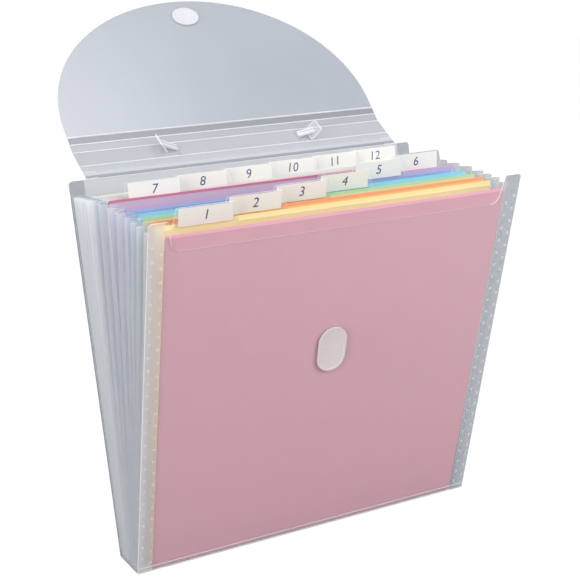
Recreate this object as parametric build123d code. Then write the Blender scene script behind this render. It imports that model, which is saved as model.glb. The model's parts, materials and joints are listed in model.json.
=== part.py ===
from build123d import *
import os
from math import cos, radians, sin, tan

# Accordion file for square scrapbook paper, in millimetres.
# X runs across the file, -Y is the front, +Z is up. The origin is the centre of the base's underside.
# It stands fanned open with its flap thrown back, as a file does on a table.

# Cover sheet
panel_width = 333.0
panel_thickness = 0.8
front_height = 319.0
back_rise = 3.0
panel_corner_radius = 3.0
base_depth = 39.0
base_thickness = 0.8

# Lean of each sheet from upright, in degrees, front to back; plus is towards the back
front_lean_angle = -13.8
divider_lean_angles = [-10.9, -9.4, -7.8, -6.1, -2.6, -0.6, 3.6, 4.8, 5.8, 6.7, 7.5, 8.3]
back_lean_angle = 9.2

# Living hinges: a round bead on the moving sheet, a running gap to the sheet it turns on
bead_radius = 0.7
hinge_gap = 0.3
floor_gap = 0.2

# Thumb notch in the front's top edge, wide enough for the lid to fold down between its ends
notch_gap = 0.3
notch_side_slope = 4.5
notch_depth = 24.5
notch_corner_radius = 8.0

# Flap: a band and a strip with score lines, then the D-shaped lid
flap_margin = 15.5
band_length = 8.0
strip_length = 25.0
strip_end_length = 15.5
strip_lean_angle = 59.0
strip_end_lean_angle = 42.0
lid_lean_angle = 43.0
lid_side_length = 11.0
lid_round_length = 127.0

# Score lines pressed into the strip and the strip's end
score_width = 0.8
score_depth = 0.25
strip_score_height = 7.0
strip_end_score_height = 8.0

# Hook-and-loop fastener
patch_width = 26.5
patch_length = 41.0
patch_drop = 134.0
patch_thickness = 1.5
coin_width = 26.0
coin_length = 20.0
coin_height = 119.5
coin_thickness = 1.5

# Carry handle, a moulded strap whose arrow heads sit inside the strip
handle_slot_spacing = 120.0
handle_width = 14.0
handle_thickness = 1.6
handle_rise = 7.0
handle_travel = 1.5
slot_gap = 0.4
slot_end_gap = 0.9
head_gap = 0.5
head_thickness = 1.0
head_neck_length = 11.0
head_length = 16.0
head_height = 16.0
head_tip_height = 7.0
head_corner_radius = 1.5

# Dividers, one to a pocket wall, with a tab each
divider_drop = 15.4
divider_thickness = 0.5
divider_bead_radius = 0.45
tabs_across = 6
tab_left_margin = 13.4
tab_right_margin = 2.4
tab_base_width = 55.0
tab_top_width = 49.0
tab_height = 16.4
tab_corner_radius = 2.5
tab_foot_overlap = 1.0

# Label cards on the tabs
label_side_margin = 2.0
label_foot_margin = 1.4
label_top_margin = 0.8
label_thickness = 0.25

# Paper stacks, counted in sheets of card, front to back
paper_side_gap = 0.5
paper_rise = 1.2
card_thickness = 0.2
stack_sheet_counts = [8, 8, 8, 8, 8, 8, 7, 6, 6, 6, 6, 5]
paper_gap = 0.3
paper_lift = 0.6

# Gussets: welded flanges on the panels and one V-pleat a pocket on each side
gusset_reach = 13.6
gusset_drop = 10.0
gusset_bottom = 6.0
gusset_inset = 1.2
film_thickness = 0.45
film_gap = 0.15
flange_thickness = 0.4
valley_gap = 0.3
flange_gap = 0.4

# Sizes and places worked out from the values above
back_height = front_height + back_rise
flap_width = panel_width - 2 * flap_margin
notch_top_width = flap_width + 2 * notch_gap
notch_bottom_width = notch_top_width - 2 * notch_side_slope
patch_height = front_height - patch_drop
handle_slot_height = handle_width + 2 * slot_end_gap
divider_width = panel_width - 2 * gusset_reach
divider_height = front_height - divider_drop
tab_first_x = -divider_width / 2 + tab_left_margin + tab_base_width / 2
tab_pitch = (divider_width - tab_left_margin - tab_right_margin - tab_base_width) / (tabs_across - 1)
label_width = tab_top_width - 2 * label_side_margin
label_height = tab_height - label_top_margin - label_foot_margin
paper_width = divider_width - 2 * paper_side_gap
paper_height = divider_height + paper_rise
gusset_top = front_height - gusset_drop
pocket_count = len(divider_lean_angles) + 1
pocket_pitch = base_depth / pocket_count
bead_height = floor_gap + bead_radius
divider_axis_height = base_thickness + hinge_gap + divider_bead_radius
valley_x = divider_width / 2 + valley_gap
ridge_x = panel_width / 2 - gusset_inset
lean_angles = [front_lean_angle] + divider_lean_angles + [back_lean_angle]
handle_plane = strip_score_height + (strip_length - strip_score_height) / 2


def sheet(outline, thickness):
    return extrude(Plane.XZ * outline, amount=thickness / 2, both=True)


def place(shape, y, z, lean):
    return Pos(0, y, z) * Rot(-lean, 0, 0) * shape


def along(y, z, lean, length):
    return y + length * sin(radians(lean)), z + length * cos(radians(lean))


def bead(radius, width):
    return Cylinder(radius, width, rotation=(0, 90, 0))


def upright_rectangle(width, bottom, top):
    return Pos(0, (bottom + top) / 2) * Rectangle(width, top - bottom)


def top_corners(outline):
    return outline.vertices().sort_by(Axis.Y)[-2:]


def sheet_y(index):
    return -base_depth / 2 + index * pocket_pitch


def sheet_axis_height(index):
    return bead_height if index in (0, pocket_count) else divider_axis_height


def on_sheet(index, shape):
    return place(shape, sheet_y(index), sheet_axis_height(index), lean_angles[index])


# Cover: base spine, front and back
def make_base():
    depth = base_depth - 2 * (bead_radius + hinge_gap)
    return Pos(0, 0, base_thickness / 2) * Box(panel_width, depth, base_thickness)


def make_front():
    outline = upright_rectangle(panel_width, 0, front_height)
    outline = fillet(top_corners(outline), panel_corner_radius)
    floor = front_height - notch_depth
    slope = (notch_top_width - notch_bottom_width) / 2 / notch_depth
    past = notch_top_width / 2 + slope * notch_depth
    notch = make_face(Polyline(
        (-notch_bottom_width / 2, floor),
        (notch_bottom_width / 2, floor),
        (past, front_height + notch_depth),
        (-past, front_height + notch_depth),
        close=True,
    ))
    notch = fillet(notch.vertices().sort_by(Axis.Y)[:2], notch_corner_radius)
    panel = sheet(outline - notch, panel_thickness) + bead(bead_radius, panel_width)
    return on_sheet(0, panel)


def make_back():
    top = back_height - bead_radius - hinge_gap
    outline = upright_rectangle(panel_width, 0, top)
    outline = fillet(top_corners(outline), panel_corner_radius)
    panel = sheet(outline, panel_thickness) + bead(bead_radius, panel_width)
    return on_sheet(pocket_count, panel)


# Flap: band, strip and lid, each on a score-line hinge
def hinge_yz():
    return along(sheet_y(pocket_count), bead_height, back_lean_angle, back_height)


def strip_yz():
    return along(*hinge_yz(), strip_lean_angle, band_length)


def strip_end_yz():
    return along(*strip_yz(), strip_lean_angle, strip_length)


def lid_yz():
    return along(*strip_end_yz(), strip_end_lean_angle, strip_end_length)


def make_band():
    top = band_length - bead_radius - hinge_gap
    band = sheet(upright_rectangle(flap_width, 0, top), panel_thickness)
    return place(band + bead(bead_radius, flap_width), *hinge_yz(), strip_lean_angle)


def score(width, height):
    depth = panel_thickness / 2 - score_depth / 2
    return Pos(0, -depth, height) * Box(width, score_depth, score_width)


def make_strip():
    strip = sheet(upright_rectangle(flap_width, 0, strip_length), panel_thickness)
    strip += bead(bead_radius, flap_width)
    strip -= score(flap_width, strip_score_height)
    slot_width = handle_thickness + 2 * slot_gap
    for side in (-1, 1):
        x = side * handle_slot_spacing / 2
        strip -= Pos(x, 0, handle_plane) * Box(slot_width, 2 * panel_thickness, handle_slot_height)
    end_top = strip_end_length - bead_radius - hinge_gap
    end = sheet(upright_rectangle(flap_width, 0, end_top), panel_thickness)
    end -= score(flap_width, strip_end_score_height)
    end += bead(panel_thickness / 2, flap_width)
    turn = strip_end_lean_angle - strip_lean_angle
    strip += Pos(0, 0, strip_length) * Rot(-turn, 0, 0) * end
    return place(strip, *strip_yz(), strip_lean_angle)


def make_lid():
    oval = Pos(0, lid_side_length) * Ellipse(flap_width / 2, lid_round_length)
    upper = upright_rectangle(flap_width, lid_side_length, lid_side_length + lid_round_length)
    outline = oval & upper
    outline += upright_rectangle(flap_width, 0, lid_side_length)
    lid = sheet(outline, panel_thickness) + bead(bead_radius, flap_width)
    return place(lid, *lid_yz(), lid_lean_angle)


# Fastener: an oblong loop patch on the front, an oval hook coin inside the lid
def make_patch():
    outline = Pos(0, patch_height) * SlotOverall(patch_length, patch_width, rotation=90)
    y = -(panel_thickness + patch_thickness) / 2
    return on_sheet(0, Pos(0, y, 0) * sheet(outline, patch_thickness))


def make_coin():
    outline = Pos(0, coin_height) * Ellipse(coin_width / 2, coin_length / 2)
    y = -(panel_thickness + coin_thickness) / 2
    return place(Pos(0, y, 0) * sheet(outline, coin_thickness), *lid_yz(), lid_lean_angle)


# Handle: strap outside the strip, posts through its slots, arrow heads inside
def make_handle():
    inner_y = -panel_thickness / 2 - head_gap - head_thickness / 2
    strap_y = panel_thickness / 2 + handle_travel + hinge_gap
    end_x = (handle_slot_spacing + handle_thickness) / 2
    under = ThreePointArc((-end_x, strap_y), (0, strap_y + handle_rise), (end_x, strap_y))
    over = ThreePointArc(
        (-end_x, strap_y + handle_thickness),
        (0, strap_y + handle_thickness + handle_rise),
        (end_x, strap_y + handle_thickness),
    )
    sides = [Line(under @ 0, over @ 0), Line(under @ 1, over @ 1)]
    strap = extrude(make_face([under, over] + sides), amount=handle_width / 2, both=True)
    handle = Pos(0, 0, handle_plane) * strap
    post_height = strap_y + handle_thickness - inner_y + head_thickness / 2
    post_y = strap_y + handle_thickness - post_height / 2
    neck_x = handle_slot_spacing / 2 + head_neck_length
    for side in (-1, 1):
        x = side * handle_slot_spacing / 2
        handle += Pos(x, post_y, handle_plane) * Box(handle_thickness, post_height, handle_width)
        neck_mid = x + side * head_neck_length / 2
        handle += Pos(neck_mid, inner_y, handle_plane) * Box(head_neck_length, head_thickness, handle_width / 2)
        head = make_face(Polyline(
            (side * neck_x, -head_height / 2),
            (side * (neck_x + head_length / 2), -head_height / 2),
            (side * (neck_x + head_length), -head_tip_height / 2),
            (side * (neck_x + head_length), head_tip_height / 2),
            (side * (neck_x + head_length / 2), head_height / 2),
            (side * neck_x, head_height / 2),
            close=True,
        ))
        head = fillet(head.vertices(), head_corner_radius)
        handle += Pos(0, inner_y, handle_plane) * sheet(head, head_thickness)
    return place(handle, *strip_yz(), strip_lean_angle)


# Pocket walls, their label cards and the paper in each pocket
def tab_x(number):
    return tab_first_x + tab_pitch * (number % tabs_across)


def make_divider(number):
    tab = make_face(Polyline(
        (-tab_base_width / 2, -tab_foot_overlap),
        (tab_base_width / 2, -tab_foot_overlap),
        (tab_base_width / 2, 0),
        (tab_top_width / 2, tab_height),
        (-tab_top_width / 2, tab_height),
        (-tab_base_width / 2, 0),
        close=True,
    ))
    tab = fillet(top_corners(tab), tab_corner_radius)
    outline = upright_rectangle(divider_width, 0, divider_height)
    outline += Pos(tab_x(number), divider_height) * tab
    wall = sheet(outline, divider_thickness) + bead(divider_bead_radius, divider_width)
    return on_sheet(number + 1, wall)


def make_label(number):
    top = divider_height + tab_height - label_top_margin
    card = Box(label_width, label_thickness, label_height)
    y = -(divider_thickness + label_thickness) / 2
    return on_sheet(number + 1, Pos(tab_x(number), y, top - label_height / 2) * card)


# Paper falls against the wall that its pocket leans to: the one in front, or the one behind
def make_stack(number):
    depth = stack_sheet_counts[number] * card_thickness
    z = paper_lift + paper_height / 2
    block = Box(paper_width, depth, paper_height)
    if lean_angles[number] + lean_angles[number + 1] < 0:
        wall = panel_thickness if number == 0 else divider_thickness
        return on_sheet(number, Pos(0, wall / 2 + paper_gap + depth / 2, z) * block)
    y = -divider_thickness / 2 - paper_gap - depth / 2
    return on_sheet(number + 1, Pos(0, y, z) * block)


# Gussets
def make_flanges(index, side_in):
    outer = panel_width / 2 - gusset_inset
    inner = valley_x + flange_gap
    y = side_in * (panel_thickness + flange_thickness) / 2
    z = (gusset_bottom + gusset_top) / 2
    strip = Box(outer - inner, flange_thickness, gusset_top - gusset_bottom)
    pair = [on_sheet(index, Pos(x, y, z) * strip) for x in (-(outer + inner) / 2, (outer + inner) / 2)]
    return Compound(children=pair)


def valley_y(index, z, towards):
    lean = lean_angles[index]
    y = sheet_y(index) + (z - sheet_axis_height(index)) * tan(radians(lean))
    step = film_gap
    if index in (0, pocket_count):
        step += (panel_thickness / 2 + flange_thickness) / cos(radians(lean))
    return y + towards * step


def pleat_section(index, z, side):
    near = valley_y(index, z, 1)
    far = valley_y(index + 1, z, -1)
    middle = (near + far) / 2
    return [
        (side * valley_x, near, z),
        (side * ridge_x, middle - film_thickness, z),
        (side * ridge_x, middle + film_thickness, z),
        (side * valley_x, far, z),
        (side * valley_x, far - film_thickness, z),
        (side * (ridge_x - 2 * film_thickness), middle, z),
        (side * valley_x, near + film_thickness, z),
    ]


def facet(*points):
    return Face(Wire.make_polygon(points))


# A wall widens towards the top, so it is two flat facets that meet on a line from ridge foot to valley top
def pleat_wall(foot, head):
    if abs(foot[0][0]) > abs(foot[1][0]):
        foot, head = foot[::-1], head[::-1]
    return [facet(foot[0], foot[1], head[0]), facet(foot[1], head[1], head[0])]


def make_pleat(index):
    middle_lean = (lean_angles[index] + lean_angles[index + 1]) / 2
    top = gusset_top * cos(radians(middle_lean))
    pair = []
    for side in (-1, 1):
        foot = pleat_section(index, gusset_bottom, side)
        head = pleat_section(index, top, side)
        faces = [facet(*foot), facet(*head)]
        for corner in range(len(foot)):
            faces += pleat_wall((foot[corner - 1], foot[corner]), (head[corner - 1], head[corner]))
        pair.append(Solid(Shell(faces)))
    return Compound(children=pair)


nodes = {
    "base_spine": make_base(),
    "front_panel": make_front(),
    "back_panel": make_back(),
    "flap_band": make_band(),
    "flap_strip": make_strip(),
    "flap_lid": make_lid(),
    "loop_patch": make_patch(),
    "hook_coin": make_coin(),
    "carry_handle": make_handle(),
    "front_gusset_flanges": make_flanges(0, 1),
    "back_gusset_flanges": make_flanges(pocket_count, -1),
}
for number in range(pocket_count - 1):
    nodes[f"divider_{number + 1:02d}"] = make_divider(number)
    nodes[f"tab_label_{number + 1:02d}"] = make_label(number)
    nodes[f"paper_stack_{number + 1:02d}"] = make_stack(number)
for number in range(pocket_count):
    nodes[f"gusset_pleat_{number + 1:02d}"] = make_pleat(number)

os.makedirs("parts", exist_ok=True)
for name, shape in nodes.items():
    export_step(shape, f"parts/{name}.step")
print(len(nodes), "nodes written")
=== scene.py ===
import json
import math
import random

import bpy
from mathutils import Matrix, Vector


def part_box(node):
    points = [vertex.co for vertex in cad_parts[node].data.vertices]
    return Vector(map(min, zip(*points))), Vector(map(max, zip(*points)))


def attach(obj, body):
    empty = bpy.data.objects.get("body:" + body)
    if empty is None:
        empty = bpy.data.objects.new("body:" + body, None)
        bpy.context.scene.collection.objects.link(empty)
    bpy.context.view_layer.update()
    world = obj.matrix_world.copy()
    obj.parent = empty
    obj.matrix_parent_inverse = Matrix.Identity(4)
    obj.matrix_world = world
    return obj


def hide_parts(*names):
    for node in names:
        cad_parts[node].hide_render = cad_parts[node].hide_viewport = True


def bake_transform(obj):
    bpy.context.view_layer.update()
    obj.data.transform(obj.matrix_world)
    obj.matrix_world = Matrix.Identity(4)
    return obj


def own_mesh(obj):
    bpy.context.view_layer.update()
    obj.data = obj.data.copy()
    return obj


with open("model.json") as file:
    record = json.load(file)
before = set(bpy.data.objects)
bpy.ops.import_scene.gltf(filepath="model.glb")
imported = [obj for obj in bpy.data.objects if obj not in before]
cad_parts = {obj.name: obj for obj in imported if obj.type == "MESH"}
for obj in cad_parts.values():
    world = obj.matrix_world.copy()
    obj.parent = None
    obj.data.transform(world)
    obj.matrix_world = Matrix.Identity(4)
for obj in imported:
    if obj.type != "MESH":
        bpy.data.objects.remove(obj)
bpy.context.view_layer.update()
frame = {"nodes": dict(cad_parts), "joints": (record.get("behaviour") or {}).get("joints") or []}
nodes = frame["nodes"]
joints = {joint["name"]: joint for joint in frame["joints"]}
random.seed(12)
mm = 0.001


# out of the front of a leaning sheet, and up along it
def normalOf(lean):
    tilt = math.radians(lean)
    return Vector((0, -math.cos(tilt), math.sin(tilt)))


def upOf(lean):
    tilt = math.radians(lean)
    return Vector((0, math.sin(tilt), math.cos(tilt)))


# the sheets front to back: body, hinge line and lean in degrees, minus leans to the front
coverHalf, wallHalf = 0.4 * mm, 0.25 * mm  # half the thickness of a cover sheet and of a pocket wall
sheets = []
for body in ["front"] + [f"divider_{n:02d}" for n in range(1, 13)] + ["back"]:
    hinge = joints[f"{body}_hinge"]
    half = coverHalf if body in ("front", "back") else wallHalf
    sheets.append({"body": body, "y": hinge["pos_m"][1], "z": hinge["pos_m"][2], "half": half,
                   "lean": hinge["axis"][0] * hinge["range_deg"][1]})
# the flap's fold lines from the bottom up, and the leans of its fields
foldLine = Vector(joints["flap_fold"]["pos_m"])
swingLine = Vector(joints["flap_swing"]["pos_m"])
lidLine = Vector(joints["lid_fold"]["pos_m"])
stripLean, stripEndLean, lidLean = 59, 42, 43
bendLean = 50  # across the bend from the strip to the lid
# the score lines between the swing line and the lid
stripScore = swingLine + upOf(stripLean) * 7 * mm
stripEnd = swingLine + upOf(stripLean) * 25 * mm
endScore = stripEnd + upOf(stripEndLean) * 8 * mm
polypropyleneIor = 1.49
print("frame loaded:", len(nodes), "nodes")


def hexColour(code):
    parts = [int(code[i:i + 2], 16) / 255 for i in (1, 3, 5)]
    return [p / 12.92 if p < 0.04045 else ((p + 0.055) / 1.055) ** 2.4 for p in parts] + [1]


def addNode(tree, kind, settings=None, links=None):
    node = tree.nodes.new(kind)
    for key, value in (settings or {}).items():
        if isinstance(key, int) or key in node.inputs:
            node.inputs[key].default_value = value
        else:
            setattr(node, key, value)
    for key, socket in (links or {}).items():
        tree.links.new(socket, node.inputs[key])
    return node


def newMaterial(name, settings):
    material = bpy.data.materials.new(name)
    material.use_nodes = True
    shader = material.node_tree.nodes["Principled BSDF"]
    for key, value in settings.items():
        shader.inputs[key].default_value = value
    return material, material.node_tree, shader


def paint(piece, *materials):
    piece.data.materials.clear()
    for material in materials:
        piece.data.materials.append(material)


# a plain finish whose colour drifts between two shades, in spots of a real size
def mottled(name, settings, spotSize, dark, light):
    material, tree, shader = newMaterial(name, settings)
    place = addNode(tree, "ShaderNodeTexCoord")
    spots = addNode(tree, "ShaderNodeTexNoise", {"Scale": 1 / spotSize, "Detail": 2.0},
                    {"Vector": place.outputs["Object"]})
    colour = addNode(tree, "ShaderNodeMix", {"data_type": "RGBA", 6: hexColour(dark), 7: hexColour(light)},
                     {0: spots.outputs["Fac"]})
    tree.links.new(colour.outputs[2], shader.inputs["Base Color"])
    return material


# Frosted polypropylene, extruded with a fine matt emboss: a milky grey veil over what is behind it,
# soft broad sheen, and cut edges and creases that glow white because light travels along the sheet
frostedLook = {
    "embossGrain": 1.3 * mm,  # the real emboss is about 0.2 mm, drawn coarser so that it shows
    "embossStrength": 0.05,
    "embossDepth": 0.05 * mm,
    "cloudSize": 70 * mm,
    "cutEdge": "#f6f8fa",
    "cutEdgeCover": 0.85,
    "cutEdgeTurn": (0.8, 0.5),  # from a face along the sheet to one across it
    "sideEdges": 140 * mm,  # cut edges further out than this glow in full, the others by innerEdge
    "weldFade": 1.5 * mm,
    "warmFade": (2 * mm, 8 * mm),  # into the margin
    # where the front is painted hazier, a painted sheen on its upper right corner
    "sheenHazeAcross": (-40 * mm, 160 * mm),
    "sheenHazeUp": (60 * mm, 320 * mm),
    # how strongly the flap's painted field shading shows
    "bandShadeTint": 0.85,
}


def coverOf(veil):
    return 1 - math.sqrt(1 - veil)  # light crosses two faces of a sheet, so each face has half the veil


def frostedSheet(name, faceNormal, veil, light, dark, roughness, margin=None, bands=None, innerEdge=1.0):
    look = frostedLook
    material, tree, shader = newMaterial(name, {"IOR": polypropyleneIor, "Roughness": roughness})
    place = addNode(tree, "ShaderNodeTexCoord")
    split = addNode(tree, "ShaderNodeSeparateXYZ", None, {"Vector": place.outputs["Object"]})
    clouds = addNode(tree, "ShaderNodeTexNoise", {"Scale": 1 / look["cloudSize"], "Detail": 2.0},
                     {"Vector": place.outputs["Object"]})
    grain = addNode(tree, "ShaderNodeTexNoise", {"Scale": 1 / look["embossGrain"], "Detail": 1.0},
                    {"Vector": place.outputs["Object"]})
    # faces that don't look along the sheet's own normal are its cut edges and creases
    shape = addNode(tree, "ShaderNodeNewGeometry")
    ownNormal = addNode(tree, "ShaderNodeVectorTransform",
                        {"vector_type": "NORMAL", "convert_from": "WORLD", "convert_to": "OBJECT"},
                        {"Vector": shape.outputs["True Normal"]})
    facing = addNode(tree, "ShaderNodeVectorMath", {"operation": "DOT_PRODUCT", 1: faceNormal},
                     {0: ownNormal.outputs["Vector"]})
    flat = addNode(tree, "ShaderNodeMath", {"operation": "ABSOLUTE"}, {0: facing.outputs["Value"]})
    outward = addNode(tree, "ShaderNodeMath", {"operation": "ABSOLUTE"}, {0: split.outputs["X"]})
    outside = addNode(tree, "ShaderNodeMath", {"operation": "GREATER_THAN", 1: look["sideEdges"]},
                      {0: outward.outputs[0]})
    glow = addNode(tree, "ShaderNodeMapRange", {"To Min": innerEdge}, {"Value": outside.outputs[0]})
    along, across = look["cutEdgeTurn"]
    edge = addNode(tree, "ShaderNodeMapRange", {"From Min": along, "From Max": across},
                   {"Value": flat.outputs[0], "To Max": glow.outputs["Result"]})
    body = addNode(tree, "ShaderNodeMix", {"data_type": "RGBA", 6: hexColour(dark), 7: hexColour(light)},
                   {0: clouds.outputs["Fac"]})
    bodyColour = body.outputs[2]
    opacity = addNode(tree, "ShaderNodeMapRange", {"To Min": coverOf(veil), "To Max": look["cutEdgeCover"]},
                      {"Value": edge.outputs["Result"]})
    if margin:
        # the margin that is melted to the gusset is milkier
        start = margin["from"]
        welded = addNode(tree, "ShaderNodeMapRange",
                         {"From Min": start, "From Max": start + look["weldFade"]},
                         {"Value": outward.outputs[0]})
        # the left margin is painted lighter and warm, light from the paper behind it painted in, most in its
        # inner part
        fadeStart, fadeEnd = look["warmFade"]
        warm = addNode(tree, "ShaderNodeMapRange",
                       {"From Min": start + fadeStart, "From Max": start + fadeEnd},
                       {"Value": outward.outputs[0]})
        leftColour = addNode(tree, "ShaderNodeMix",
                             {"data_type": "RGBA", 6: hexColour(margin["leftInner"]),
                              7: hexColour(margin["left"])}, {0: warm.outputs["Result"]})
        # the right margin is painted darker and bluer than the left, a painted shade
        side = addNode(tree, "ShaderNodeMath", {"operation": "GREATER_THAN", 1: 0.0}, {0: split.outputs["X"]})
        sideColour = addNode(tree, "ShaderNodeMix", {"data_type": "RGBA", 7: hexColour(margin["right"])},
                             {0: side.outputs[0], 6: leftColour.outputs[2]})
        milk = addNode(tree, "ShaderNodeMix", {"data_type": "RGBA"},
                       {0: welded.outputs["Result"], 6: bodyColour, 7: sideColour.outputs[2]})
        bodyColour = milk.outputs[2]
        # the sheet is painted hazier towards its upper right corner, a painted sheen that pales it there,
        # where it also stands off the paper
        left, right = look["sheenHazeAcross"]
        low, high = look["sheenHazeUp"]
        rightward = addNode(tree, "ShaderNodeMapRange", {"From Min": left, "From Max": right},
                            {"Value": split.outputs["X"]})
        upward = addNode(tree, "ShaderNodeMapRange", {"From Min": low, "From Max": high},
                         {"Value": split.outputs["Z"]})
        sheenCorner = addNode(tree, "ShaderNodeMath", {"operation": "MULTIPLY"},
                         {0: rightward.outputs["Result"], 1: upward.outputs["Result"]})
        haze = addNode(tree, "ShaderNodeMapRange",
                       {"To Min": coverOf(veil), "To Max": coverOf(margin["haze"])},
                       {"Value": sheenCorner.outputs[0]})
        thick = addNode(tree, "ShaderNodeMapRange", {"To Max": coverOf(margin["veil"])},
                        {"Value": welded.outputs["Result"], "To Min": haze.outputs["Result"]})
        tree.links.new(thick.outputs["Result"], opacity.inputs["To Min"])
    if bands:
        # the fields between the creases, from the fold line up, each painted its own grey: painted shade and
        # painted light for how light falls on it at its lean
        fields = bands["fields"]
        low, high = fields[0][0], bands["top"]
        climb = addNode(tree, "ShaderNodeMapRange", {"From Min": low, "From Max": high},
                        {"Value": split.outputs["Z"]})
        ramp = addNode(tree, "ShaderNodeValToRGB", None, {"Fac": climb.outputs["Result"]})
        ramp.color_ramp.interpolation = "CONSTANT"
        stops = ramp.color_ramp.elements
        for number, (z, code) in enumerate(fields):
            stop = stops[0] if number == 0 else stops.new((z - low) / (high - low))
            stop.color = hexColour(code)
        stops[-1].color = hexColour(fields[-1][1])
        tint = addNode(tree, "ShaderNodeMix", {"data_type": "RGBA", 0: look["bandShadeTint"]},
                       {6: bodyColour, 7: ramp.outputs["Color"]})
        bodyColour = tint.outputs[2]
    colour = addNode(tree, "ShaderNodeMix", {"data_type": "RGBA", 7: hexColour(look["cutEdge"])},
                     {0: edge.outputs["Result"], 6: bodyColour})
    bump = addNode(tree, "ShaderNodeBump",
                   {"Strength": look["embossStrength"], "Distance": look["embossDepth"]},
                   {"Height": grain.outputs["Fac"]})
    tree.links.new(colour.outputs[2], shader.inputs["Base Color"])
    tree.links.new(opacity.outputs["Result"], shader.inputs["Alpha"])
    tree.links.new(bump.outputs["Normal"], shader.inputs["Normal"])
    return material


# painted shading of the flap, field by field: a painted shadow line in the fold, lighter fields above it, and
# a dark painted-shade field below the lid
flapShadeBands = {
    "fields": [
        (foldLine.z - 2 * mm, "#8e99a8"),
        (foldLine.z + 1.5 * mm, "#dde1e7"),
        (swingLine.z, "#cdd1d8"),
        (stripScore.z, "#c6cad1"),
        (stripEnd.z, "#b2b7bf"),
        (endScore.z, "#7f8792"),
    ],
    "top": lidLine.z + 2 * mm,
}
gussetMargin = 152.4 * mm  # from the middle of the sheet to the strip that is melted to the gusset
frontSheet = frostedSheet(
    "frosted polypropylene front", (0, 1, 0), veil=0.07, light="#f0eef2", dark="#e2e1e6", roughness=0.34,
    innerEdge=0.5,
    margin={"from": gussetMargin, "veil": 0.56, "haze": 0.14, "leftInner": "#ffe9d6", "left": "#efe9e8",
            "right": "#bac2cc"})
# the back, the lid and the strip are the front's frosted sheet painted darker and bluer, a painted shade
backSheet = frostedSheet(
    "frosted polypropylene back", (0, 1, 0), veil=0.7, light="#d6dae0", dark="#ccd1d8", roughness=0.38,
    margin={"from": gussetMargin, "veil": 0.7, "haze": 0.7, "leftInner": "#a0a7b2", "left": "#a0a7b2",
            "right": "#a0a7b2"})
lidSheet = frostedSheet(
    "frosted polypropylene lid", normalOf(bendLean), veil=0.75, light="#b7bec9", dark="#adb4c0",
    roughness=0.28)
stripSheet = frostedSheet(
    "frosted polypropylene strip", normalOf(bendLean), veil=0.65, light="#c0c5cd", dark="#b4bac3",
    roughness=0.36, innerEdge=0.0, bands=flapShadeBands)
spineSheet = frostedSheet(
    "frosted polypropylene spine", (0, 0, 1), veil=0.6, light="#c4c8ce", dark="#b4b9c0", roughness=0.38)
# the flange is painted lighter than the front, a painted light against the shade it stands in
flangeSheet = frostedSheet(
    "frosted polypropylene flange", (0, 1, 0), veil=0.22, light="#faf8f6", dark="#f0eeec", roughness=0.4)
# Clear polypropylene of the pocket walls: hardly any veil, so mostly its bright cut edges show
pocketSheet = frostedSheet(
    "clear polypropylene pocket wall", (0, 1, 0), veil=0.12, light="#f4f6f8", dark="#eaeef1", roughness=0.25)
finishes = {
    "front_panel": frontSheet, "back_panel": backSheet, "flap_band": stripSheet, "flap_strip": stripSheet,
    "flap_lid": lidSheet, "base_spine": spineSheet, "front_gusset_flanges": flangeSheet,
    "back_gusset_flanges": flangeSheet,
}
for name, finish in finishes.items():
    paint(nodes[name], finish)
for n in range(1, 13):
    paint(nodes[f"divider_{n:02d}"], pocketSheet)
print("cover sheets and pocket walls painted")

# Uncoated card: matt, with a fibre mottle and a slight tooth
cardLook = {
    "fibre": 1.1 * mm,  # real fibres are finer, drawn coarser so that they show
    "mottle": 14 * mm,
    "mottleDark": 0.95,
    "tooth": 0.15,
    "toothDepth": 0.04 * mm,
}


def cardStock(name, code):
    material, tree, shader = newMaterial(name, {"Roughness": 0.85, "Specular IOR Level": 0.25})
    base = hexColour(code)
    place = addNode(tree, "ShaderNodeTexCoord")
    fibre = addNode(tree, "ShaderNodeTexNoise", {"Scale": 1 / cardLook["fibre"], "Detail": 2.0},
                    {"Vector": place.outputs["Object"]})
    mottle = addNode(tree, "ShaderNodeTexNoise", {"Scale": 1 / cardLook["mottle"], "Detail": 2.0},
                     {"Vector": place.outputs["Object"]})
    colour = addNode(tree, "ShaderNodeMix",
                     {"data_type": "RGBA", 6: [c * cardLook["mottleDark"] for c in base[:3]] + [1], 7: base},
                     {0: mottle.outputs["Fac"]})
    bump = addNode(tree, "ShaderNodeBump",
                   {"Strength": cardLook["tooth"], "Distance": cardLook["toothDepth"]},
                   {"Height": fibre.outputs["Fac"]})
    tree.links.new(colour.outputs[2], shader.inputs["Base Color"])
    tree.links.new(bump.outputs["Normal"], shader.inputs["Normal"])
    return material


labelCard = cardStock("white index card", "#efefea")
for n in range(1, 13):
    paint(nodes[f"tab_label_{n:02d}"], labelCard)


def settle(piece):
    bpy.ops.object.select_all(action="DESELECT")
    piece.select_set(True)
    bpy.context.view_layer.objects.active = piece
    bpy.ops.object.transform_apply(location=True, rotation=True, scale=True)


# Pieces are drawn lying flat, X across, Y up the sheet, Z out of its front, and then stood up on it
def standUp(piece, y, z, lean):
    piece.rotation_euler = (math.radians(90 - lean), 0, 0)
    piece.location = (0, y, z)
    settle(piece)


def applyModifiers(piece):
    bpy.context.view_layer.objects.active = piece
    for modifier in list(piece.modifiers):
        bpy.ops.object.modifier_apply(modifier=modifier.name)


def addThickness(piece, thickness):
    wall = piece.modifiers.new("wall", "SOLIDIFY")
    wall.thickness = thickness
    wall.offset = 0


def softenEdges(piece, width, segments, angle):
    rounding = piece.modifiers.new("softEdges", "BEVEL")
    rounding.width = width
    rounding.segments = segments
    rounding.angle_limit = math.radians(angle)


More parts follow.
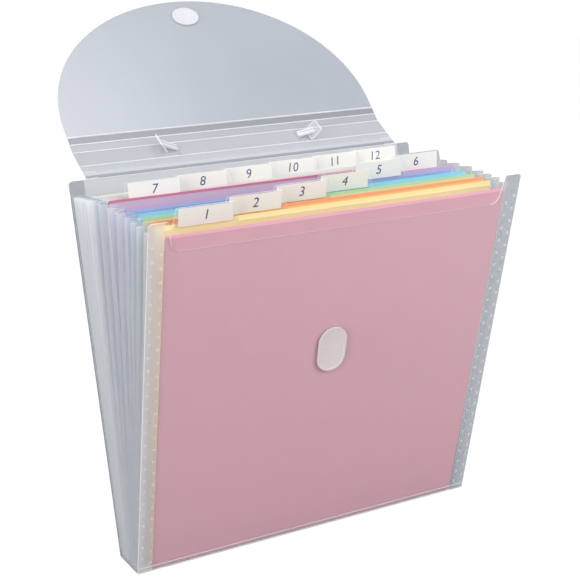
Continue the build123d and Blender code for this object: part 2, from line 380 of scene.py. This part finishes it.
# cuts the active piece at its middle plane and keeps the half on this side
def keepHalf(out):
    bpy.ops.object.mode_set(mode="EDIT")
    bpy.ops.mesh.select_all(action="SELECT")
    bpy.ops.mesh.bisect(plane_co=(0, 0, 0), plane_no=(0, 0, out), clear_inner=True, use_fill=True)
    bpy.ops.object.mode_set(mode="OBJECT")


def joinAll(pieces, name):
    bpy.ops.object.select_all(action="DESELECT")
    for piece in pieces:
        piece.select_set(True)
    bpy.context.view_layer.objects.active = pieces[0]
    bpy.ops.object.join()
    pieces[0].name = name
    return pieces[0]


# Paper stacks: loose cards of a few shades, a little out of step and a little bowed
paperLook = {
    "side": 304.4 * mm,
    "rise": [0.0, 1.7, 0.8, 2.1, 0.4, 1.3],  # mm above the pocket floor, card by card from the front
    "sideStep": 0.4 * mm,
    "gapToWall": 0.3 * mm,
    "foot": 0.6 * mm,
    "turn": 0.05,  # degrees out of square at most
    "cuts": 7,
    "bow": 0.05 * mm,
    "bowWaves": 23,
    "bowMiddle": 0.5,  # share of the bow at mid height, which grows towards the top
    "bowGrowth": 1.6,
    "thickness": 0.6,  # share of the room that each card has
    "shades": [
        ["#daaab6", "#f8c2d0", "#f4b8c9"],
        ["#fff2b4", "#ffdf7c", "#fff0ae"],
        ["#ffc295", "#fb915c", "#ffae7c"],
        ["#cfeac2", "#a9d99f", "#bfe4b2"],
        ["#9fd8f2", "#7fccf0", "#98d7f3"],
        ["#a4b2de", "#a396cd", "#cfa9cf"],
        ["#c6b4cc", "#bd6085", "#ca7895"],
        ["#dcdcde", "#d2d2d6", "#e4e4e4"],
        ["#e4e0d6", "#dcd7cb", "#eae7df"],
        ["#dedee0", "#d4d4d8", "#e6e6e6"],
        ["#f0f0ef", "#e8e8e8", "#f4f4f2"],
        ["#ebe8de", "#e4e0d4", "#f0ede4"],
    ],
}
for number in range(1, 13):
    # paper falls against the wall that its pocket leans to
    forward = sheets[number - 1]["lean"] + sheets[number]["lean"] < 0
    wall = sheets[number - 1] if forward else sheets[number]
    node = f"paper_stack_{number:02d}"
    reach = [v.co.dot(normalOf(wall["lean"])) for v in nodes[node].data.vertices]
    cards = [cardStock(f"coloured card {number}.{i + 1}", code)
             for i, code in enumerate(paperLook["shades"][number - 1])]
    count = len(paperLook["rise"])
    step = (max(reach) - min(reach)) / count
    start = wall["half"] + paperLook["gapToWall"]
    leaves = []
    for leaf in range(count):
        out = -(start + step * (leaf + 0.5)) if forward else start + step * (count - leaf - 0.5)
        bpy.ops.object.select_all(action="DESELECT")
        bpy.ops.mesh.primitive_plane_add(size=paperLook["side"], location=(
            random.uniform(-1, 1) * paperLook["sideStep"],
            paperLook["foot"] + paperLook["rise"][leaf] * mm + paperLook["side"] / 2, out))
        card = bpy.context.object
        card.rotation_euler.z = math.radians(random.uniform(-paperLook["turn"], paperLook["turn"]))
        bpy.ops.object.mode_set(mode="EDIT")
        bpy.ops.mesh.select_all(action="SELECT")
        bpy.ops.mesh.subdivide(number_cuts=paperLook["cuts"])
        bpy.ops.object.mode_set(mode="OBJECT")
        phase = random.uniform(0, 6)
        for vertex in card.data.vertices:
            wave = math.sin(phase + vertex.co.x * paperLook["bowWaves"])
            swell = paperLook["bowMiddle"] + paperLook["bowGrowth"] * vertex.co.y
            vertex.co.z += paperLook["bow"] * wave * swell
        settle(card)
        addThickness(card, step * paperLook["thickness"])
        applyModifiers(card)
        paint(card, cards[0] if leaf == 0 else cards[1 + leaf % 2])
        leaves.append(card)
    stack = joinAll(leaves, f"cardStack.{number:02d}")
    standUp(stack, wall["y"], wall["z"], wall["lean"])
    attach(stack, wall["body"])
    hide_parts(node)
print("paper stacks done")

# Gusset pleats: one film a pocket, folded outwards, the fold pressed into a narrow round
pleatLook = {
    "columns": 12,
    "rows": 14,
    "film": 0.3 * mm,
    "foot": 2.2 * mm,
    "valley": 153.3 * mm,
    "ridge": 165.2 * mm,
    "foldRound": 0.16,
    "slack": 0.07,
    "clearOfWall": 0.3 * mm,
    "clearOfCover": 1.05 * mm,
}
# Blown polypropylene film: paler and thinner than the cover, whitened where it is folded, partly real stress
# whitening and partly a painted highlight, and milkier in the narrow rear pleats, which lie close together,
# drawn milkier there also to paint them lighter against their shade;
# painted darker and bluer into the valley at the pocket wall, a painted shade
filmLook = {
    "valleyShade": "#a0b3ce",
    "light": "#f8fafb",
    "cutEdge": "#ffffff",
    "cutEdgeCover": 0.85,
    "streak": 9 * mm,
    "streakStretch": 0.06,
    "streakShare": 0.25,
    "pressed": 2 * mm,  # the width of the whitened fold
    "pressedCover": 0.07,
    "valley": 3.5 * mm,  # the depth of the shaded valley
    "valleyShadeCover": 0.08,
    "upright": 0.7,  # faces that look up more than this are the cut edge at the top
}


def pleatFilm(name, veil):
    material, tree, shader = newMaterial(name, {"IOR": polypropyleneIor, "Roughness": 0.33})
    place = addNode(tree, "ShaderNodeTexCoord")
    stretch = addNode(tree, "ShaderNodeMapping", {"Scale": (1, 1, filmLook["streakStretch"])},
                      {"Vector": place.outputs["Object"]})
    streaks = addNode(tree, "ShaderNodeTexNoise", {"Scale": 1 / filmLook["streak"], "Detail": 3.0},
                      {"Vector": stretch.outputs["Vector"]})
    split = addNode(tree, "ShaderNodeSeparateXYZ", None, {"Vector": place.outputs["Object"]})
    outward = addNode(tree, "ShaderNodeMath", {"operation": "ABSOLUTE"}, {0: split.outputs["X"]})
    # painted shade in the valley at the pocket wall, painted lighter out to the pressed fold outside
    valley, ridge = pleatLook["valley"], pleatLook["ridge"]
    fold = addNode(tree, "ShaderNodeMapRange", {"From Min": valley, "From Max": ridge - filmLook["pressed"]},
                   {"Value": outward.outputs[0]})
    waver = addNode(tree, "ShaderNodeMix", {"data_type": "FLOAT", 0: filmLook["streakShare"]},
                    {2: fold.outputs["Result"], 3: streaks.outputs["Fac"]})
    body = addNode(tree, "ShaderNodeMix",
                   {"data_type": "RGBA", 6: hexColour(filmLook["valleyShade"]), 7: hexColour(filmLook["light"])},
                   {0: waver.outputs[0]})
    pressed = addNode(tree, "ShaderNodeMapRange",
                      {"To Min": coverOf(veil), "To Max": coverOf(veil) + filmLook["pressedCover"]},
                      {"Value": fold.outputs["Result"]})
    valleyShade = addNode(tree, "ShaderNodeMapRange", {"From Min": valley + filmLook["valley"], "From Max": valley},
                   {"Value": outward.outputs[0]})
    cover = addNode(tree, "ShaderNodeMath", {"operation": "MULTIPLY_ADD", 1: filmLook["valleyShadeCover"]},
                    {0: valleyShade.outputs["Result"], 2: pressed.outputs["Result"]})
    # the cut edge at the top is painted white and nearly opaque, a painted highlight
    shape = addNode(tree, "ShaderNodeNewGeometry")
    upright = addNode(tree, "ShaderNodeSeparateXYZ", None, {"Vector": shape.outputs["True Normal"]})
    edge = addNode(tree, "ShaderNodeMath", {"operation": "GREATER_THAN", 1: filmLook["upright"]},
                   {0: upright.outputs["Z"]})
    colour = addNode(tree, "ShaderNodeMix", {"data_type": "RGBA", 7: hexColour(filmLook["cutEdge"])},
                     {0: edge.outputs[0], 6: body.outputs[2]})
    opacity = addNode(tree, "ShaderNodeMapRange", {"To Max": filmLook["cutEdgeCover"]},
                      {"Value": edge.outputs[0], "To Min": cover.outputs[0]})
    tree.links.new(colour.outputs[2], shader.inputs["Base Color"])
    tree.links.new(opacity.outputs["Result"], shader.inputs["Alpha"])
    return material


openPleats = 8  # the first ones, which are spread wide
openFilm = pleatFilm("folded polypropylene film", 0.16)
closeFilm = pleatFilm("folded polypropylene film, close pleats", 0.5)


def wallY(sheet, z, towards):
    isCover = sheet["body"] in ("front", "back")
    gap = pleatLook["clearOfCover"] if isCover else pleatLook["clearOfWall"]
    return sheet["y"] + (z - sheet["z"]) * math.tan(math.radians(sheet["lean"])) + towards * gap


def easeBack(share):
    # where a smooth ramp from 0 to 1 has this height
    low, high = 0.0, 1.0
    for step in range(40):
        middle = (low + high) / 2
        if middle * middle * (3 - 2 * middle) < share:
            low = middle
        else:
            high = middle
    return (low + high) / 2


for index in range(13):
    near, far = sheets[index], sheets[index + 1]
    node = f"gusset_pleat_{index + 1:02d}"
    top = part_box(node)[1].z
    bpy.ops.object.select_all(action="DESELECT")
    bpy.ops.mesh.primitive_grid_add(x_subdivisions=pleatLook["columns"],
                                    y_subdivisions=pleatLook["rows"], size=1)
    pleat = bpy.context.object
    pleat.name = f"gussetPleat.{index + 1:02d}"
    soft = pleatLook["foldRound"]
    for vertex in pleat.data.vertices:
        across, height = vertex.co.x + 0.5, vertex.co.y + 0.5
        z = pleatLook["foot"] + (top - pleatLook["foot"]) * height
        side = abs(2 * across - 1)
        reach = 1 - (math.hypot(side, soft) - soft) / (math.hypot(1, soft) - soft)
        shift = across - pleatLook["slack"] * math.sin(2 * math.pi * across) * height
        nearY, farY = wallY(near, z, 1), wallY(far, z, -1)
        x = pleatLook["valley"] + (pleatLook["ridge"] - pleatLook["valley"]) * reach
        vertex.co = (x, nearY + (farY - nearY) * shift, z)
    mirror = pleat.modifiers.new("otherSide", "MIRROR")
    mirror.use_mirror_merge = False
    addThickness(pleat, pleatLook["film"])
    applyModifiers(pleat)
    bpy.ops.object.shade_smooth_by_angle(angle=math.radians(50))
    paint(pleat, openFilm if index < openPleats else closeFilm)
    # where it would bend, between the base and the neighbour that leans more, by its share at the other
    # neighbour: worked out here, not used
    more, less = (near, far) if abs(near["lean"]) > abs(far["lean"]) else (far, near)
    share = max(0.0, less["lean"] / more["lean"])
    tilt = math.radians(more["lean"])
    across = Vector((0, math.cos(tilt), -math.sin(tilt)))
    moreEdge = Vector((0, wallY(more, top, 0), top))
    lessEdge = Vector((0, wallY(less, top, 0), top))
    width = (lessEdge - moreEdge).dot(across)
    start = moreEdge + across * width / (1 - easeBack(share))
    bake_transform(pleat)
    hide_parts(node)
print("gusset pleats done")

# Spot welds that hold the gussets to the front and back, two staggered rows down each side
weldLook = {
    "radius": 1.6 * mm,
    "proud": 0.3 * mm,
    "pitch": 11.4 * mm,
    "count": 26,
    "outer": 163.2 * mm,
    "inner": 155.7 * mm,
    "foot": 9 * mm,
}
# Re-melted polypropylene: small milky lenses, whiter than the sheet round them
weldSpot = mottled("melted polypropylene", {"IOR": polypropyleneIor, "Roughness": 0.28, "Alpha": 0.34},
                   6 * mm, "#e9ecef", "#ffffff")
for sheet, out in ((sheets[0], 1), (sheets[-1], -1)):
    bpy.ops.object.select_all(action="DESELECT")
    bpy.ops.mesh.primitive_uv_sphere_add(segments=10, ring_count=6, radius=weldLook["radius"],
                                         location=(0, 0, 0))
    spots = bpy.context.object
    spots.scale.z = weldLook["proud"] / weldLook["radius"]
    settle(spots)
    keepHalf(out)
    spots.location = (weldLook["inner"], weldLook["foot"], out * coverHalf)
    settle(spots)
    downStep = (0, weldLook["pitch"], 0)
    rowStep = (weldLook["outer"] - weldLook["inner"], weldLook["pitch"] / 2, 0)
    for name, count, offset in (("column", weldLook["count"], downStep), ("stagger", 2, rowStep)):
        repeat = spots.modifiers.new(name, "ARRAY")
        repeat.count = count
        repeat.use_relative_offset = False
        repeat.use_constant_offset = True
        repeat.constant_offset_displace = offset
    otherSide = spots.modifiers.new("otherSide", "MIRROR")
    otherSide.use_mirror_merge = False
    applyModifiers(spots)
    spots.name = f"weldSpots.{sheet['body']}"
    bpy.ops.object.shade_smooth_by_angle(angle=math.radians(60))
    paint(spots, weldSpot)
    standUp(spots, sheet["y"], sheet["z"], sheet["lean"])
    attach(spots, sheet["body"])
print("spot welds done")

# Hook-and-loop: an oblong of knitted loops on the front, an oval of moulded hooks in the lid
fastenerLook = {
    "patchWidth": 26.5 * mm,
    "patchLength": 41 * mm,
    "patchStraight": 14.5 * mm,
    "coinWidth": 26 * mm,
    "coinLength": 20 * mm,
    "thick": 1.5 * mm,
    "rim": 1.8 * mm,
    "sink": 0.4 * mm,
    "edge": 0.5 * mm,
    "rib": 1.9 * mm,
    "pile": 0.9 * mm,  # real pile is finer, drawn coarser so that it shows
    "stem": 1.3 * mm,
    "relief": 0.3 * mm,
}


def ovalPad(name, width, length, straight):
    bpy.ops.object.select_all(action="DESELECT")
    bpy.ops.mesh.primitive_circle_add(vertices=56, radius=0.5, fill_type="NGON")
    pad = bpy.context.object
    pad.name = name
    pad.scale = (width, length - straight, 1)
    settle(pad)
    for vertex in pad.data.vertices:
        vertex.co.y += math.copysign(straight / 2, vertex.co.y)
    bpy.ops.object.mode_set(mode="EDIT")
    bpy.ops.mesh.select_all(action="SELECT")
    bpy.ops.mesh.extrude_region_move(TRANSFORM_OT_translate={"value": (0, 0, fastenerLook["thick"])})
    bpy.ops.mesh.inset(thickness=fastenerLook["rim"], depth=0)
    bpy.ops.mesh.inset(thickness=fastenerLook["sink"], depth=-fastenerLook["sink"])
    bpy.ops.mesh.select_all(action="SELECT")
    bpy.ops.mesh.normals_make_consistent(inside=False)
    bpy.ops.object.mode_set(mode="OBJECT")
    softenEdges(pad, fastenerLook["edge"], 3, 40)
    applyModifiers(pad)
    bpy.ops.object.shade_smooth_by_angle(angle=math.radians(50))
    return pad


# Nylon loop knit: matt white pile with fine cross ribs and a velvety edge
loopKnit, tree, shader = newMaterial("knitted nylon loop",
                                     {"Roughness": 0.9, "Sheen Weight": 0.3, "Sheen Roughness": 0.5,
                                      "Specular IOR Level": 0.2})
place = addNode(tree, "ShaderNodeTexCoord")
ribs = addNode(tree, "ShaderNodeTexWave",
               {"bands_direction": "Z", "Scale": 0.314 / fastenerLook["rib"],  # a wave is 0.314 / scale long
                "Distortion": 2.5, "Detail": 2.0, "Detail Scale": 2.0}, {"Vector": place.outputs["Object"]})
pile = addNode(tree, "ShaderNodeTexNoise", {"Scale": 1 / fastenerLook["pile"], "Detail": 3.0},
               {"Vector": place.outputs["Object"]})
fuzz = addNode(tree, "ShaderNodeMix", {"data_type": "FLOAT", 0: 0.5},
               {2: ribs.outputs["Fac"], 3: pile.outputs["Fac"]})
colour = addNode(tree, "ShaderNodeMix",
                 {"data_type": "RGBA", 6: hexColour("#d0c7c6"), 7: hexColour("#e5dcdb")},
                 {0: fuzz.outputs[0]})
bump = addNode(tree, "ShaderNodeBump", {"Strength": 0.6, "Distance": fastenerLook["relief"]},
               {"Height": fuzz.outputs[0]})
tree.links.new(colour.outputs[2], shader.inputs["Base Color"])
tree.links.new(bump.outputs["Normal"], shader.inputs["Normal"])

# Nylon hooks: rows of tiny stems on a white backing
hookTape, tree, shader = newMaterial("moulded nylon hook", {"Roughness": 0.55})
place = addNode(tree, "ShaderNodeTexCoord")
stems = addNode(tree, "ShaderNodeTexVoronoi", {"Scale": 1 / fastenerLook["stem"], "Randomness": 0.25},
                {"Vector": place.outputs["Object"]})
colour = addNode(tree, "ShaderNodeMix",
                 {"data_type": "RGBA", 6: hexColour("#d8d8de"), 7: hexColour("#c6c6ce")},
                 {0: stems.outputs["Distance"]})
bump = addNode(tree, "ShaderNodeBump", {"Strength": 0.5, "Distance": fastenerLook["relief"], "invert": True},
               {"Height": stems.outputs["Distance"]})
tree.links.new(colour.outputs[2], shader.inputs["Base Color"])
tree.links.new(bump.outputs["Normal"], shader.inputs["Normal"])


def middleOf(node):
    low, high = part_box(node)
    return (low + high) / 2


def seatPad(pad, node, lean, body, material):
    back = middleOf(node) - normalOf(lean) * fastenerLook["thick"] / 2
    paint(pad, material)
    standUp(pad, back.y, back.z, lean)
    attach(pad, body)
    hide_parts(node)


loopPatch = ovalPad("loopPatch", fastenerLook["patchWidth"], fastenerLook["patchLength"],
                    fastenerLook["patchStraight"])
seatPad(loopPatch, "loop_patch", sheets[0]["lean"], "front", loopKnit)
hookCoin = ovalPad("hookCoin", fastenerLook["coinWidth"], fastenerLook["coinLength"], 0)
seatPad(hookCoin, "hook_coin", lidLean, "flap_lid", hookTape)
print("fastener done")

# Creases pressed into the flap and the foot of the front: half-round ridges
creaseLook = {"width": 1.1 * mm, "proud": 0.28 * mm, "flapLength": 301.6 * mm, "footLength": 332 * mm,
              "footHeight": 4.5 * mm}
# Stress-whitened polypropylene: the sheet turns milky white where it was pressed
whitened = mottled("stress-whitened polypropylene",
                   {"IOR": polypropyleneIor, "Roughness": 0.35, "Alpha": 0.6}, 18 * mm, "#dfe4ea", "#ffffff")
frontLean = sheets[0]["lean"]
frontFoot = Vector((0, sheets[0]["y"], sheets[0]["z"])) + upOf(frontLean) * creaseLook["footHeight"]
creases = [
    {"name": "lidCrease", "at": lidLine, "out": 0.55 * mm, "lean": lidLean,
     "length": creaseLook["flapLength"], "body": "flap_lid"},
    {"name": "endCrease", "at": endScore, "out": 0.3 * mm, "lean": stripEndLean,
     "length": creaseLook["flapLength"], "body": "flap_strip"},
    {"name": "bendCrease", "at": stripEnd, "out": 0.38 * mm, "lean": bendLean,
     "length": creaseLook["flapLength"], "body": "flap_strip"},
    {"name": "stripCrease", "at": stripScore, "out": 0.3 * mm, "lean": stripLean,
     "length": creaseLook["flapLength"], "body": "flap_strip"},
    {"name": "footCrease", "at": frontFoot, "out": 0.38 * mm, "lean": frontLean,
     "length": creaseLook["footLength"], "body": "front"},
]
for crease in creases:
    bpy.ops.object.select_all(action="DESELECT")
    bpy.ops.mesh.primitive_cylinder_add(vertices=12, radius=0.5, depth=crease["length"],
                                        rotation=(0, math.radians(90), 0))
    ridge = bpy.context.object
    ridge.name = crease["name"]
    settle(ridge)
    ridge.scale = (1, creaseLook["width"], creaseLook["proud"] * 2)
    settle(ridge)
    keepHalf(1)
    bpy.ops.object.shade_smooth_by_angle(angle=math.radians(50))
    paint(ridge, whitened)
    seat = crease["at"] + normalOf(crease["lean"]) * crease["out"]
    standUp(ridge, seat.y, seat.z, crease["lean"])
    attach(ridge, crease["body"])
print("creases done")

# Carry handle: strap behind the flap strip, its two heads sprung up on the inside
handleLook = {
    "slotAt": 60 * mm,
    "centre": 16 * mm,
    "width": 13.6 * mm,
    "thick": 1.4 * mm,
    "gap": 3.0 * mm,
    "rise": 6.8 * mm,
    "inside": 1.0 * mm,
    "archShare": 0.88,  # of the strap, the rest goes through the slots
    "edge": 0.35 * mm,
    "neck": (14.5 * mm, -2 * mm, 5.4 * mm),
    "neckWidth": 7 * mm,
    "neckThick": 0.8 * mm,
    "ribAt": 2.3 * mm,
    "ribSize": 2.0 * mm,
    "lift": 53,  # degrees off the strip
    "headLength": 13.5 * mm,
    "headWidth": 15 * mm,
    "headThick": 1.1 * mm,
    "headCorner": 2.2 * mm,
    "headRim": 0.9 * mm,
    "headSlope": 0.2 * mm,
    "headSink": 0.35 * mm,
    "headSeat": 0.9 * mm,
    "flatSeat": 0.75 * mm,
}
# Clear polypropylene, injection moulded: glassy with sharp highlights, a faint flow haze, and whiter rims,
# drawn far less clear as a painted highlight for their bright edges
strapLook = {"tint": "#f4f6f8", "haze": "#e2e7ec", "flowSize": 9 * mm, "glossy": 0.08, "dull": 0.2}


def mouldedClear(name, cover):
    material, tree, shader = newMaterial(name, {"IOR": polypropyleneIor, "Alpha": cover})
    place = addNode(tree, "ShaderNodeTexCoord")
    flow = addNode(tree, "ShaderNodeTexNoise", {"Scale": 1 / strapLook["flowSize"], "Detail": 3.0},
                   {"Vector": place.outputs["Object"]})
    colour = addNode(tree, "ShaderNodeMix",
                     {"data_type": "RGBA", 6: hexColour(strapLook["haze"]), 7: hexColour(strapLook["tint"])},
                     {0: flow.outputs["Fac"]})
    gloss = addNode(tree, "ShaderNodeMapRange",
                    {"To Min": strapLook["glossy"], "To Max": strapLook["dull"]},
                    {"Value": flow.outputs["Fac"]})
    tree.links.new(colour.outputs[2], shader.inputs["Base Color"])
    tree.links.new(gloss.outputs["Result"], shader.inputs["Roughness"])
    return material


strapClear = mouldedClear("moulded clear polypropylene", 0.16)
rimHighlightClear = mouldedClear("moulded clear polypropylene rim", 0.7)
bpy.ops.object.select_all(action="DESELECT")
bpy.ops.mesh.primitive_grid_add(x_subdivisions=48, y_subdivisions=3, size=1)
strap = bpy.context.object
strap.name = "carryStrap"
for vertex in strap.data.vertices:
    run, side = vertex.co.x * 2, vertex.co.y  # run is -1 to 1 from slot to slot
    arch = handleLook["archShare"]
    post = max(0.0, abs(run) - arch) / (1 - arch)
    arc = min(abs(run) / arch, 1)
    z = -handleLook["gap"] - handleLook["rise"] * (1 - arc * arc)
    z += (handleLook["gap"] + handleLook["inside"]) * post
    x = math.copysign(handleLook["slotAt"] * arc, run)
    vertex.co = (x, handleLook["centre"] + side * handleLook["width"], z)
addThickness(strap, handleLook["thick"])
softenEdges(strap, handleLook["edge"], 2, 60)
applyModifiers(strap)
bpy.ops.object.shade_smooth_by_angle(angle=math.radians(40))
paint(strap, strapClear)
standUp(strap, swingLine.y, swingLine.z, stripLean)
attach(strap, "handle")
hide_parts("carry_handle")

for side in (-1, 1):
    # plate with rounded corners and a raised rim
    bpy.ops.object.select_all(action="DESELECT")
    bpy.ops.mesh.primitive_plane_add(size=1, location=(0, 0, 0))
    plate = bpy.context.object
    plate.scale = (handleLook["headLength"], handleLook["headWidth"], 1)
    settle(plate)
    bpy.ops.object.mode_set(mode="EDIT")
    bpy.ops.mesh.select_all(action="SELECT")
    bpy.ops.mesh.bevel(offset=handleLook["headCorner"], segments=3, affect="VERTICES")
    bpy.ops.mesh.extrude_region_move(TRANSFORM_OT_translate={"value": (0, 0, handleLook["headThick"])})
    bpy.ops.mesh.inset(thickness=handleLook["headRim"], depth=0)
    bpy.ops.mesh.inset(thickness=handleLook["headSlope"], depth=-handleLook["headSink"])
    bpy.ops.mesh.select_all(action="SELECT")
    bpy.ops.mesh.normals_make_consistent(inside=False)
    bpy.ops.object.mode_set(mode="OBJECT")
    paint(plate, strapClear, rimHighlightClear)
    for face in plate.data.polygons:
        face.material_index = 0 if len(face.vertices) > 4 else 1
    neckEnd = Vector(handleLook["neck"])
    plate.rotation_euler = (0, -math.radians(handleLook["lift"]), 0)
    plate.location = neckEnd
    settle(plate)
    # neck with two stiffening ribs, rising from the slot to the middle of the plate
    bars = [plate]
    climb = math.atan2(neckEnd.z, math.hypot(neckEnd.x, neckEnd.y))
    rib = handleLook["ribSize"]
    for y, width, height in ((0, handleLook["neckWidth"], handleLook["neckThick"]),
                             (handleLook["ribAt"], rib, rib), (-handleLook["ribAt"], rib, rib)):
        bpy.ops.object.select_all(action="DESELECT")
        bpy.ops.mesh.primitive_cube_add(size=1, location=(neckEnd.length / 2, y, height / 2))
        bar = bpy.context.object
        bar.scale = (neckEnd.length, width, height)
        settle(bar)
        softenEdges(bar, handleLook["edge"], 2, 30)
        applyModifiers(bar)
        bar.rotation_euler = (0, -climb, math.atan2(neckEnd.y, neckEnd.x))
        settle(bar)
        # the neck and ribs are drawn wholly in the rim's painted highlight
        paint(bar, strapClear, rimHighlightClear)
        for face in bar.data.polygons:
            face.material_index = 1
        bars.append(bar)
    head = joinAll(bars, "handleHead.left" if side < 0 else "handleHead.right")
    # the left one is the right one turned round
    head.rotation_euler = (0, 0, 0 if side > 0 else math.pi)
    head.location = (side * handleLook["slotAt"], handleLook["centre"], handleLook["headSeat"])
    settle(head)
    standUp(head, swingLine.y, swingLine.z, stripLean)
    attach(head, "handle")
    # where the springy neck would lie flat when the flap is shut: worked out here, not used
    seat = swingLine + upOf(stripLean) * handleLook["centre"] + normalOf(stripLean) * handleLook["flatSeat"]
    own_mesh(head)
print("handle done")

# Pen numbers on the tab cards, a little uneven as by hand
numberLook = {"height": 11 * mm, "ink": 0.03 * mm, "proud": 0.03 * mm, "tilt": 5.0, "lean": 0.16,
              "spacing": 1.08, "cardHalf": 0.125 * mm}
# Ball-point ink: dark blue with a slight gloss, thinner where the ball skips
penInk = mottled("blue ball-point ink", {"Roughness": 0.4}, 2 * mm, "#1d2a5c", "#44518c")
for number in range(1, 13):
    bpy.ops.object.select_all(action="DESELECT")
    bpy.ops.object.text_add()
    figure = bpy.context.object
    figure.data.body = str(number)
    figure.data.align_x = "CENTER"
    figure.data.align_y = "CENTER"
    figure.data.size = numberLook["height"]
    figure.data.shear = numberLook["lean"]
    figure.data.space_character = numberLook["spacing"]
    figure.data.extrude = numberLook["ink"]
    figure.data.resolution_u = 4
    bpy.ops.object.convert(target="MESH")
    figure = bpy.context.object
    figure.name = f"penNumber.{number:02d}"
    sheet = sheets[number]
    centre = middleOf(f"tab_label_{number:02d}")
    figure.rotation_euler.z = math.radians(random.uniform(-1, 1) * numberLook["tilt"])
    figure.location.x = centre.x
    settle(figure)
    paint(figure, penInk)
    face = centre + normalOf(sheet["lean"]) * (numberLook["cardHalf"] + numberLook["proud"])
    standUp(figure, face.y, face.z, sheet["lean"])
    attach(figure, sheet["body"])
print("numbers done")

# Studio: white sweep, soft light from the right, the front, the left, behind and above
# the floor's white is mixed with its lit paper, by 1 - shadow, and comes to about 1
floorLook = {"size": 9.0, "below": 0.3 * mm, "shadow": 0.2, "paper": "#9e9e9e", "white": 1.22,
             "shadeBehindSheet": 0.53}
worldLook = {"ambient": 0.31, "white": 1.0, "shadeBehindSheet": 0.46}
bpy.ops.object.select_all(action="DESELECT")
bpy.ops.mesh.primitive_plane_add(size=floorLook["size"], location=(0, 0, -floorLook["below"]))
floor = bpy.context.object
floor.name = "studioFloor"
paper, tree, shader = newMaterial("white studio paper",
                                  {"Base Color": hexColour(floorLook["paper"]), "Roughness": 0.9})


def seenWhite(tree, look):
    # plain white for the eye and for reflections, and grey through a sheet of the file: the studio's grey,
    # drawn there as a painted shade that darkens the sheets
    ray = addNode(tree, "ShaderNodeLightPath")
    seen = addNode(tree, "ShaderNodeMath", {"operation": "MAXIMUM"},
                   {0: ray.outputs["Is Camera Ray"], 1: ray.outputs["Is Glossy Ray"]})
    seenToo = addNode(tree, "ShaderNodeMath", {"operation": "MAXIMUM"},
                      {0: seen.outputs[0], 1: ray.outputs["Is Transmission Ray"]})
    level = addNode(tree, "ShaderNodeMapRange", {"To Min": look["white"], "To Max": look["shadeBehindSheet"]},
                    {"Value": ray.outputs["Transparent Depth"]})
    return seenToo.outputs[0], level.outputs["Result"]


seen, level = seenWhite(tree, floorLook)
share = addNode(tree, "ShaderNodeMath", {"operation": "MULTIPLY", 1: 1 - floorLook["shadow"]}, {0: seen})
white = addNode(tree, "ShaderNodeEmission", None, {"Strength": level})
mix = addNode(tree, "ShaderNodeMixShader", None,
              {0: share.outputs[0], 1: shader.outputs["BSDF"], 2: white.outputs["Emission"]})
tree.links.new(mix.outputs["Shader"], tree.nodes["Material Output"].inputs["Surface"])
paint(floor, paper)

world = bpy.data.worlds.new("studioWorld")
bpy.context.scene.world = world
world.use_nodes = True
tree = world.node_tree
seen, level = seenWhite(tree, worldLook)
strength = addNode(tree, "ShaderNodeMapRange", {"To Min": worldLook["ambient"]},
                   {"Value": seen, "To Max": level})
tree.nodes["Background"].inputs["Color"].default_value = (1, 1, 1, 1)
tree.links.new(strength.outputs["Result"], tree.nodes["Background"].inputs["Strength"])

lampAim = Vector((0, 0, 0.18))
lamps = [
    {"name": "keySoftbox", "place": (0.8, -0.95, 0.7), "size": 0.7, "watts": 8.3},
    {"name": "frontFill", "place": (0.1, -1.0, 1.0), "size": 0.8, "watts": 3},
    {"name": "sideFill", "place": (-1.5, -0.5, 0.7), "size": 1.2, "watts": 21.5},
    {"name": "backFill", "place": (0.5, 1.7, 1.0), "size": 1.2, "watts": 16},
    {"name": "topSoftbox", "place": (0.27, -0.22, 1.7), "size": 0.4, "watts": 7},
]
for lamp in lamps:
    bpy.ops.object.light_add(type="AREA", location=lamp["place"])
    light = bpy.context.object
    light.name = lamp["name"]
    light.data.size = lamp["size"]
    light.data.energy = lamp["watts"]
    aim = lampAim - Vector(lamp["place"])
    light.rotation_euler = aim.to_track_quat("-Z", "Y").to_euler()
print("studio lit")

cameraLook = {"place": (-0.49955, -0.91844, 0.49509), "turn": (71.107, 1.734, -29.034), "lens": 78.41,
              "shift": (-0.0052, 0.1504)}
bpy.ops.object.camera_add(location=cameraLook["place"],
                          rotation=[math.radians(a) for a in cameraLook["turn"]])
camera = bpy.context.object
camera.data.sensor_width = 36
camera.data.lens = cameraLook["lens"]
camera.data.shift_x, camera.data.shift_y = cameraLook["shift"]
camera.data.clip_start = 0.01
bpy.context.scene.camera = camera
bpy.context.scene.view_settings.view_transform = "Standard"
bpy.context.scene.cycles.transparent_max_bounces = 96  # many thin sheets lie behind each other
